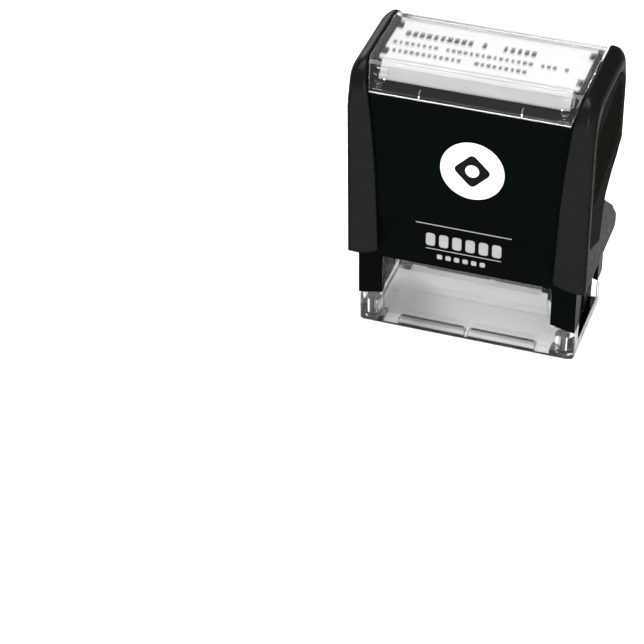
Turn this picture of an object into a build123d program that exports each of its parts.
from build123d import *
import math
import os

# Self-inking stamp with a turning die, in millimetres.
# X runs across the stamp, -Y is its front, +Z is up, and the origin is at the centre of the
# foot's underside. The stamp is drawn at rest: handle up, die face up against the ink pad.

# ---------------------------------------------------------------- driving dimensions
foot_half_x = 30.7
foot_half_y = 15.5
foot_wall = 1.5
plate_half_x = 23.5
plate_half_y = 9.0
stroke = 19.0

axle_z = 26.6
axle_r = 1.5
face_above_axle = 7.5
crank_r = 4.2
crank_pin_r = 1.0

wall_in_x = 27.2
wall_out_x = 29.1
wall_in_y = 13.9
wall_out_y = 15.4
frame_bottom = 22.6
frame_top = 54.0
rear_wall_top = 58.6
bay_bottom = 34.3
bay_top = 41.9

hanger_in_x = 29.4
hanger_out_x = 31.1
hanger_half_y = 10.0
deck_bottom = 74.0
deck_top = 75.6
panel_in_y = 15.8
panel_out_y = 17.0

arm_in_x = 31.4
arm_out_x = 33.3
arm_half_y = 18.4
flange_in_y = 17.05
arm_bottom = 23.6
shoulder_z = 78.6
arm_top = 83.4
arm_top_x = 29.2

lock_y = 7.5
lock_z = 42.8
running = 0.06

os.makedirs("parts", exist_ok=True)
names = []


def save(shape, name):
    """Write one named piece to its own STEP file."""
    shape.label = name
    export_step(shape, f"parts/{name}.step")
    names.append(name)


def block(x0, x1, y0, y1, z0, z1):
    """A box between two corners."""
    size = (x1 - x0, y1 - y0, z1 - z0)
    centre = ((x0 + x1) / 2, (y0 + y1) / 2, (z0 + z1) / 2)
    return Location(centre) * Box(*size)


def rod_x(radius, x0, x1, y, z):
    """A round bar lying along X."""
    return Location(((x0 + x1) / 2, y, z), (0, 90, 0)) * Cylinder(radius, x1 - x0)


def rod_z(radius, x, y, z0, z1):
    """A round bar standing along Z."""
    return Location((x, y, (z0 + z1) / 2)) * Cylinder(radius, z1 - z0)


def slab_yz(outline, x0, x1):
    """An outline in (y, z) given a thickness along X."""
    return Location((x0, 0, 0)) * extrude(Plane.YZ * make_face(outline), x1 - x0)


def slab_xz(outline, y0, y1):
    """An outline in (x, z) given a thickness along Y."""
    return Location((0, y1, 0)) * extrude(Plane.XZ * make_face(outline), y1 - y0)


def mirrored_x(shape):
    return mirror(shape, about=Plane.YZ)


def both_sides(shape):
    """A shape and its mirror image across the stamp."""
    return shape + mirrored_x(shape)


# ---------------------------------------------------------------- foot (clear acrylic)
corner_x = 23.8
corner_y = 10.4
leg_z_in = 10.6
leg_z_out = 9.1
leg_gap = 0.15
boss_r = 2.5
boss_x = 27.4
boss_y = 12.4
peg_r = 1.25
pad_r = 1.9
pad_height = 1.0


def corner_outline(z0, lift):
    """Outline of a corner in (x, z): its upper edge falls towards the outside."""
    return Polyline(
        (corner_x, z0),
        (foot_half_x, z0),
        (foot_half_x, leg_z_out + lift),
        (corner_x, leg_z_in + lift),
        close=True,
    )


def make_foot():
    window_top = frame_bottom - 0.1
    inner_y = foot_half_y - foot_wall
    long_wall = block(-corner_x, corner_x, -foot_half_y, -inner_y, 0, window_top)
    sill = block(wall_in_x, foot_half_x, -corner_y, corner_y, 0, 3.2)
    corner = slab_xz(corner_outline(0, -leg_gap), -foot_half_y, -corner_y)
    pocket = block(corner_x - 1, foot_half_x - foot_wall, -inner_y, -corner_y + 1, 1.4, 20)
    boss = rod_z(boss_r, boss_x, -boss_y, 0, 6.5) & block(0, foot_half_x, -foot_half_y, -corner_y, 0, 7)
    corner = corner - pocket + boss
    corner = corner - rod_z(peg_r + 0.05, boss_x, -boss_y, 1.7, 20)
    corner = corner - rod_z(pad_r, boss_x, -boss_y, -1, pad_height)
    rib = block(0.5, 19.5, -foot_half_y, -foot_half_y + 2.6, 0, 2.3)
    rib = fillet(rib.edges().filter_by(Axis.Y).group_by(Axis.Z)[-1], 1.0)
    quarter_pieces = corner + rib
    half = quarter_pieces + mirror(quarter_pieces, about=Plane.XZ) + sill
    foot = long_wall + mirror(long_wall, about=Plane.XZ) + both_sides(half)
    upright = foot.edges().filter_by(Axis.Z)
    outer = [e for e in upright if abs(e.center().X) > foot_half_x - 0.1 and abs(e.center().Y) > foot_half_y - 0.1]
    return fillet(outer, 1.6)


def make_foot_pads():
    pad = rod_z(pad_r, boss_x, -boss_y, 0, pad_height)
    pair = both_sides(pad)
    return pair + mirror(pair, about=Plane.XZ)


# ---------------------------------------------------------------- body frame (black)
slot_half = axle_r + 0.25
groove_half = crank_pin_r + 0.25
groove_x = 28.4
ledge_x = 25.6
ledge_bottom = 33.0
deck_wall = 1.2
spring_r = 4.05
wire_r = 0.45
cup_r = 5.8


def crank_path(half_width, count=13):
    """Both edges of the track that the crank pin follows while the die turns over."""
    left, right = [], []
    for step in range(count):
        turn = math.pi * step / (count - 1)
        y = crank_r * math.cos(turn)
        z = axle_z - stroke * turn / math.pi + crank_r * math.sin(turn)
        dy = -crank_r * math.sin(turn)
        dz = -stroke / math.pi + crank_r * math.cos(turn)
        length = math.hypot(dy, dz)
        ny, nz = -dz / length * half_width, dy / length * half_width
        left.append((y + ny, z + nz))
        right.append((y - ny, z - nz))
    return left, right


def make_groove():
    left, right = crank_path(groove_half)
    edges = [Spline(left), Line(left[-1], right[-1]), Spline(right), Line(right[0], left[0])]
    track = slab_yz(edges, wall_in_x - 1, groove_x)
    start = rod_x(groove_half, wall_in_x - 1, groove_x, crank_r, axle_z)
    end = rod_x(groove_half, wall_in_x - 1, groove_x, -crank_r, axle_z - stroke)
    return track + start + end


def make_frame():
    side = block(wall_in_x, wall_out_x, -wall_out_y, wall_out_y, frame_bottom, frame_top)
    side += block(wall_in_x, wall_out_x, -corner_y, corner_y, 3.4, frame_bottom)
    slot = block(wall_in_x - 1, wall_out_x + 1, -slot_half, slot_half, axle_z - stroke, axle_z)
    slot += rod_x(slot_half, wall_in_x - 1, wall_out_x + 1, 0, axle_z)
    slot += rod_x(slot_half, wall_in_x - 1, wall_out_x + 1, 0, axle_z - stroke)
    lock_seats = rod_x(1.7, 28.1, wall_out_x + 1, lock_y, lock_z)
    lock_seats += rod_x(1.7, 28.1, wall_out_x + 1, lock_y, lock_z - stroke)
    side = side - slot - make_groove() - lock_seats
    ledge = block(ledge_x, wall_in_x, -wall_in_y, wall_in_y, ledge_bottom, bay_bottom)
    leg_outline = Polyline(
        (corner_x, 27.0),
        (corner_x, leg_z_in),
        (foot_half_x, leg_z_out),
        (foot_half_x, 25.5),
        (wall_out_x, 27.0),
        close=True,
    )
    leg = slab_xz(leg_outline, -wall_out_y, -corner_y)
    leg = leg - block(corner_x - 1, wall_in_x - 0.4, -wall_in_y, 0, 0, 40)
    leg += rod_z(peg_r, boss_x, -boss_y, 2.0, 14)
    legs = leg + mirror(leg, about=Plane.XZ)
    half = side + ledge + legs
    front = block(-wall_in_x, wall_in_x, -wall_out_y, -wall_in_y, frame_bottom, frame_top)
    rear = block(-wall_in_x, wall_in_x, wall_in_y, wall_out_y, frame_bottom, bay_bottom)
    rear += block(-wall_in_x, wall_in_x, wall_in_y, wall_out_y, bay_top, frame_top)
    rear += block(-26.3, 26.3, wall_in_y, wall_out_y, frame_top, rear_wall_top)
    roof = block(-wall_in_x, wall_in_x, -wall_in_y, wall_in_y, bay_top, bay_top + deck_wall)
    cup = rod_z(cup_r, 0, 0, bay_top + deck_wall, bay_top + deck_wall + 2.2)
    cup -= rod_z(cup_r - 1.0, 0, 0, bay_top + deck_wall, bay_top + deck_wall + 3)
    stop = block(20.7, 24.6, -wall_in_y, -12.3, 19.6, 28) + block(22.4, 24.6, -wall_in_y, -12.3, 17.4, 28)
    gate = block(-wall_in_x, wall_in_x, wall_in_y - 1, wall_out_y + 1, bay_bottom, bay_top)
    return front + rear + roof + cup + both_sides(half + stop) - gate


# ---------------------------------------------------------------- print on the frame's front
print_depth = 0.12


def print_bar(x0, x1, z0, z1, round_r):
    """One bar of the silver print, with rounded ends."""
    bar = block(x0, x1, -wall_out_y - print_depth, -wall_out_y, z0, z1)
    return fillet(bar.edges().filter_by(Axis.Y), round_r)


def make_nameplate():
    word = [print_bar(x, x + 2.6, 29.3, 33.4, 0.8) for x in (-11.6, -7.9, -4.2, -0.5, 3.2, 6.9)]
    small = [print_bar(x, x + 1.5, 25.3, 26.8, 0.4) for x in (-8.4, -6.0, -3.6, -1.2, 1.2, 3.6)]
    rule = print_bar(-11.6, 9.5, 28.2, 28.45, 0.05)
    return Compound(word + small + [rule])


# ---------------------------------------------------------------- ink cartridge
tray_half_x = 26.9
tray_front = -13.6
tray_rear = 15.3
tray_bottom = 34.6
tray_top = 41.5
pad_bottom = 34.9
pad_half_x = 24.5
pad_half_y = 10.5
pad_thickness = 4.5


def make_ink_tray():
    tray = block(-tray_half_x, tray_half_x, tray_front, tray_rear, tray_bottom, tray_top)
    seat_top = pad_bottom + pad_thickness
    tray -= block(-pad_half_x, pad_half_x, -pad_half_y, pad_half_y, tray_bottom - 1, seat_top)
    for x0, x1 in ((-25.4, -9.0), (-7.8, 7.8), (9.0, 25.4)):
        tray -= block(x0, x1, tray_front + 1.5, 11.4, seat_top + 0.9, tray_top + 1)
    scoop = Location((0, tray_rear + 1.6, 38.0), (0, 90, 0)) * Cylinder(3.1, 22)
    scoop = fillet(scoop.edges(), 1.0)
    return tray - scoop


def make_ink_pad():
    top = pad_bottom + pad_thickness
    return block(-pad_half_x, pad_half_x, -pad_half_y, pad_half_y, pad_bottom, top)


# ---------------------------------------------------------------- turning die
holder_half_x = 24.6
holder_half_y = 9.2
plate_top = axle_z + face_above_axle
relief = 0.6
plate_base = 0.9
foam = 2.0
holder_top = plate_top - relief - plate_base - foam
skirt_bottom = axle_z - 10.2


def make_die_holder():
    outer = block(-holder_half_x, holder_half_x, -holder_half_y, holder_half_y, 24.0, holder_top)
    inner = block(-holder_half_x + 1.6, holder_half_x - 1.6, -7.7, 7.7, 20, holder_top - 1.6)
    skirt = block(-20.5, 20.5, -holder_half_y, holder_half_y, skirt_bottom + 1.6, 24.0)
    skirt += block(-19.5, 19.5, -8.2, 8.2, skirt_bottom, skirt_bottom + 1.6)
    hollow = block(-18.4, 18.4, -7.1, 7.1, skirt_bottom - 1, 26)
    shell = outer - inner + skirt - hollow
    axle_boss = rod_x(3.2, 17.0, holder_half_x, 0, axle_z) + block(17, 23.2, -0.8, 0.8, axle_z, holder_top - 1)
    ribs = block(-0.7, 0.7, -7.8, 7.8, axle_z - 2, holder_top - 1)
    ribs += block(-17.2, 17.2, -0.7, 0.7, axle_z - 2, holder_top - 1)
    holder = shell + both_sides(axle_boss) + ribs
    lip = block(-holder_half_x, holder_half_x, -holder_half_y, holder_half_y, holder_top, holder_top + 0.8)
    lip -= block(-plate_half_x - 0.4, plate_half_x + 0.4, -20, 20, holder_top - 1, holder_top + 2)
    bore = rod_x(axle_r, 17.5, 30, 0, axle_z)
    return holder + lip - both_sides(bore)


def make_die_foam():
    return block(-plate_half_x, plate_half_x, -plate_half_y, plate_half_y, holder_top, holder_top + foam)


def make_text_plate():
    """The rubber plate: a frame line and plain bars stand in for the raised characters."""
    base_top = plate_top - relief
    plate = block(-plate_half_x, plate_half_x, -plate_half_y, plate_half_y, holder_top + foam, base_top)
    border = block(-plate_half_x + 0.4, plate_half_x - 0.4, -plate_half_y + 0.4, plate_half_y - 0.4, base_top, plate_top)
    border -= block(-plate_half_x + 1.1, plate_half_x - 1.1, -plate_half_y + 1.1, plate_half_y - 1.1, base_top - 1, plate_top + 1)
    plate += border
    rows = ((4.6, 1.7, 3.0, 9), (0.2, 1.1, 2.1, 13), (-4.4, 1.1, 2.1, 11))
    for row_y, half_height, bar, count in rows:
        for index in range(count):
            x = -20.6 + index * (bar + 0.95)
            plate += block(x, x + bar, row_y - half_height, row_y + half_height, base_top, plate_top)
    return plate


def make_axle_pins():
    return both_sides(rod_x(axle_r, 17.5, 31.0, 0, axle_z))


def make_cam_followers():
    disc = rod_x(5.0, holder_half_x, 26.8, 0, axle_z)
    crank = rod_x(crank_pin_r, 26.8, 28.1, crank_r, axle_z)
    follower = disc + crank - rod_x(axle_r, 20, 30, 0, axle_z)
    return both_sides(follower)


# ---------------------------------------------------------------- return spring
spring_bottom = bay_top + deck_wall
spring_turns = 8


def make_spring():
    height = deck_bottom - spring_bottom - 2 * wire_r
    path = Helix(pitch=height / spring_turns, height=height, radius=spring_r, center=(0, 0, spring_bottom + wire_r))
    section = Plane(origin=path @ 0, z_dir=path % 0) * Circle(wire_r)
    return sweep(section, path=path, is_frenet=True)


# ---------------------------------------------------------------- handle
tab_rows = (-6.8, 6.8)
tab_half_y = 1.6
tab_slot_x = 25.3
card_top = 82.1
card_half_x = 26.8
card_half_y = 10.2


def card_tabs():
    """Four leaning tabs that pass through the card's edge slots and hold it square."""
    lean = Polyline((24.4, deck_top), (25.3, deck_top), (26.8, card_top + 0.1), (25.9, card_top + 0.1), close=True)
    tabs = [slab_xz(lean, y - tab_half_y, y + tab_half_y) for y in tab_rows]
    return both_sides(tabs[0] + tabs[1])


def tab_slots():
    """The room that the tabs need in the card and its tray."""
    slots = [block(tab_slot_x, 30, y - tab_half_y - 0.1, y + tab_half_y + 0.1, 70, 90) for y in tab_rows]
    return both_sides(slots[0] + slots[1])


def make_yoke():
    deck = block(-arm_in_x, arm_in_x, -panel_in_y, panel_in_y, deck_bottom, deck_top)
    deck -= block(-wall_in_x - 0.5, wall_in_x + 0.5, wall_in_y - 0.4, 20, deck_bottom - 1, deck_top + 1)
    hanger = block(hanger_in_x, hanger_out_x, -hanger_half_y, hanger_half_y, arm_bottom + 0.2, deck_bottom)
    hanger += block(hanger_in_x, arm_in_x, -hanger_half_y, hanger_half_y, 52.0, deck_bottom)
    hanger -= rod_x(axle_r + running, 29, 32, 0, axle_z)
    hanger -= rod_x(1.5 + running, 29, 32, lock_y, lock_z)
    hanger -= rod_x(2.3, 30.05, 32, lock_y, lock_z)
    post = rod_z(2.8, 0, 0, deck_bottom - 6.8, deck_bottom)
    post = chamfer(post.edges().group_by(Axis.Z)[0], 0.8)
    rail = slab_xz(Polyline((-26.8, deck_top), (26.8, deck_top), (28.0, 81.4), (-28.0, 81.4), close=True), 10.8, 12.2)
    return deck + both_sides(hanger) + post + rail + card_tabs()


def make_panel(z0):
    return block(-29.8, 29.8, -panel_out_y, -panel_in_y, z0, deck_top)


def make_front_panel():
    return make_panel(37.2)


def make_panel_rule():
    """A thin silver line printed along the front panel's lower edge."""
    return block(-14.0, 12.6, -panel_out_y - print_depth, -panel_out_y, 37.3, 37.55)


def make_rear_panel():
    """It ends high enough to pass over the cartridge when the handle is down."""
    return mirror(make_panel(tray_top + stroke + 0.3), about=Plane.XZ)


def arm_front_outline():
    """The arm seen from the front, in (x, z): flared inner edge, flat side, round shoulder."""
    inner = Spline((arm_top_x, arm_top), (27.5, 77.0), (26.1, 63.0), (25.2, 50.0), (24.4, 26.2))
    foot_curve = Spline((24.4, 26.2), (28.0, 24.7), (arm_out_x, arm_bottom))
    side = Line((arm_out_x, arm_bottom), (arm_out_x, shoulder_z))
    shoulder = ThreePointArc((arm_out_x, shoulder_z), (32.1, 81.9), (arm_top_x, arm_top))
    return [inner, foot_curve, side, shoulder]


def arm_side_outline():
    """The arm seen from the side, in (y, z): straight front, and a notch open to the rear."""
    corners = [
        (-arm_half_y, arm_bottom - 1),
        (arm_half_y, arm_bottom - 1),
        (arm_half_y, 28.4),
        (12.1, 34.0),
        (0.0, 43.8),
        (6.7, 48.1),
        (arm_half_y, 52.0),
        (arm_half_y, arm_top),
        (-arm_half_y, arm_top),
    ]
    radii = [0.01, 3.0, 3.5, 4.0, 0.8, 5.0, 2.5, 8.5, 8.5]
    outline = make_face(Polyline(*corners, close=True))
    for corner, radius in zip(corners, radii):
        if radius > 0.1:
            near = [v for v in outline.vertices() if math.hypot(v.X - corner[0], v.Y - corner[1]) < 0.01]
            outline = fillet(near, radius)
    return outline


grip_depth = 0.8
grip_front = -15.0
grip_rear = 15.2
grip_top = 78.8
rib_count = 7
rib_low_z = 53.5
rib_pitch = 3.1
rib_rise = 14


def grip_outline(inset):
    """The rubber panel in the arm's side, in (y, z), ending in a tongue below the notch."""
    corners = [
        (grip_front + inset, 37.4 + inset),
        (-4.0 - inset, 33.2 + inset),
        (-1.9 - inset, 41.4),
        (0.0 - inset, 45.2 + inset),
        (6.3, 49.4 + inset),
        (grip_rear - inset, 52.5 + inset),
        (grip_rear - inset, grip_top - inset),
        (grip_front + inset, grip_top - inset),
    ]
    radii = [0.8, 0.8, 6.0, 2.0, 5.0, 1.0, 6.0, 7.0]
    outline = make_face(Polyline(*corners, close=True))
    for corner, radius in zip(corners, radii):
        near = [v for v in outline.vertices() if math.hypot(v.X - corner[0], v.Y - corner[1]) < 0.01]
        outline = fillet(near, radius)
    return outline


def make_arm_right():
    front_view = extrude(Plane.XZ * make_face(arm_front_outline()), arm_half_y, both=True)
    side_view = Location((20, 0, 0)) * extrude(Plane.YZ * arm_side_outline(), 15)
    plan = Rectangle(2 * arm_out_x, 2 * arm_half_y)
    plan = fillet(plan.vertices(), 1.8)
    arm = front_view & side_view & extrude(plan, 100)
    cavity = block(20, arm_in_x, -flange_in_y, flange_in_y, 20, deck_top)
    arm -= cavity
    arm -= block(20, tray_half_x + 0.5, flange_in_y - 1, 20, 45, deck_top)
    recess = extrude(Plane.YZ * grip_outline(0), 5)
    return arm - Location((arm_out_x - grip_depth, 0, 0)) * recess


def make_grip_right():
    panel = Location((arm_out_x - grip_depth, 0, 0)) * extrude(Plane.YZ * grip_outline(0.05), grip_depth - 0.05)
    rib_field = Location((arm_out_x - 0.3, 0, 0)) * extrude(Plane.YZ * grip_outline(1.6), 0.6)
    for index in range(rib_count):
        centre = (arm_out_x, 0, rib_low_z + rib_pitch * index)
        rib = Location(centre, (rib_rise, 0, 0)) * Box(0.6, 40.0, 1.2)
        panel += rib & rib_field
    return panel


# ---------------------------------------------------------------- index card, tray and cover
cover_lip_y = 17.8
cover_bottom = deck_top + 0.3
cover_wall = 1.0
cover_top = 83.4


def cover_profile(inset):
    """The cover seen from the side, in (y, z): low lips and sloped long faces."""
    top = cover_top - inset
    lip = cover_lip_y - inset
    points = [(-lip, cover_bottom), (-lip, 77.0 - 0.4 * inset), (-13.6 + 0.75 * inset, 82.1 - 0.9 * inset)]
    points += [(-11.8 + 0.3 * inset, top), (11.8 - 0.3 * inset, top)]
    points += [(13.6 - 0.75 * inset, 82.1 - 0.9 * inset), (lip, 77.0 - 0.4 * inset), (lip, cover_bottom)]
    return Polyline(*points, close=True)


def make_cover():
    """Open at both ends, where the arms close it, and a little wider at the top."""
    ends = Polyline((-27.0, cover_bottom), (27.0, cover_bottom), (28.8, cover_top), (-28.8, cover_top), close=True)
    shell = slab_yz(cover_profile(0), -30, 30) - slab_yz(cover_profile(cover_wall), -30, 30)
    inside = slab_yz(cover_profile(cover_wall - 0.1), -30, 30)
    ribs = block(23.5, 24.0, -20, -14.2, 78.6, 82) + block(13.6, 14.0, -20, -15.6, 75.9, 79)
    latch = Location((24.8, -14.43, 81.09), (50.5, 0, 0)) * (Box(3.8, 2.3, 0.8) - Box(2.6, 1.2, 2))
    clip = Location((24.9, -17.0, 77.98), (50.5, 0, 0)) * (Box(2.6, 1.9, 0.7) - Box(1.4, 0.9, 2))
    return (shell & slab_xz(ends, -20, 20)) + (both_sides(ribs) & inside) + both_sides(latch + clip)


def make_card_tray():
    profile = Polyline(
        (-14.0, 78.1), (-14.0, 78.7), (-11.2, 81.8), (10.5, 81.8), (10.5, 78.1), close=True
    )
    hollow = Polyline(
        (-12.8, 77.0), (-12.8, 78.5), (-10.6, 80.8), (9.4, 80.8), (9.4, 77.0), close=True
    )
    tray = slab_yz(profile, -25.6, 25.6) - slab_yz(hollow, -23.8, 23.8)
    top = block(-card_half_x + 0.3, card_half_x - 0.3, -card_half_y, card_half_y, 80.8, 81.8)
    stand = block(22.4, 23.8, -9, 9, deck_top, 80.8)
    slots = block(24.2, 30, -8.6, 8.6, 70, 80.8)
    return tray + top + both_sides(stand - slots) - tab_slots() - both_sides(slots)


def make_index_card():
    card = block(-card_half_x, card_half_x, -card_half_y, card_half_y, 81.8, card_top)
    return card - tab_slots()


# ---------------------------------------------------------------- emblem on the front panel
emblem_r = 8.75
emblem_x = 1.2
emblem_z = 56.8
emblem_depth = 0.25


def make_emblem_disc():
    disc = Location((emblem_x, -panel_out_y - emblem_depth / 2, emblem_z), (90, 0, 0)) * Cylinder(emblem_r, emblem_depth)
    return disc - make_mark(3)


def make_mark(depth):
    """A plain tilted square with a round hole."""
    y = -panel_out_y - depth / 2
    square = Location((emblem_x, y, emblem_z), (0, 45, 0)) * Box(7.6, depth, 7.6)
    square = fillet(square.edges().filter_by(Axis.Y), 1.4)
    return square - Location((emblem_x, y, emblem_z), (90, 0, 0)) * Cylinder(1.9, depth + 1)


# ---------------------------------------------------------------- lock buttons
def make_lock_right():
    shaft = rod_x(1.5, 29.5, 31.2, lock_y, lock_z)
    head = rod_x(2.0, 31.15, 31.95, lock_y, lock_z)
    head = fillet(head.edges().group_by(Axis.X)[-1], 0.35)
    return shaft + head


save(make_frame(), "body_frame")
save(make_foot(), "base_foot")
save(make_foot_pads(), "foot_pads")
save(make_nameplate(), "nameplate_print")
save(make_ink_tray(), "ink_tray")
save(make_ink_pad(), "ink_pad")
save(make_die_holder(), "die_holder")
save(make_die_foam(), "die_foam")
save(make_text_plate(), "text_plate")
save(make_axle_pins(), "axle_pins")
save(make_cam_followers(), "cam_followers")
save(make_spring(), "return_spring")
save(make_yoke(), "yoke")
save(make_front_panel(), "front_panel")
save(make_rear_panel(), "rear_panel")
save(make_panel_rule(), "panel_rule")
arm = make_arm_right()
save(arm, "arm_shell_right")
save(mirrored_x(arm), "arm_shell_left")
grip = make_grip_right()
save(grip, "grip_right")
save(mirrored_x(grip), "grip_left")
save(make_card_tray(), "card_tray")
save(make_index_card(), "index_card")
save(make_cover(), "index_cover")
save(make_emblem_disc(), "emblem_disc")
save(make_mark(emblem_depth), "emblem_mark")
lock = make_lock_right()
save(lock, "lock_button_right")
save(mirrored_x(lock), "lock_button_left")
print(len(names), "pieces")
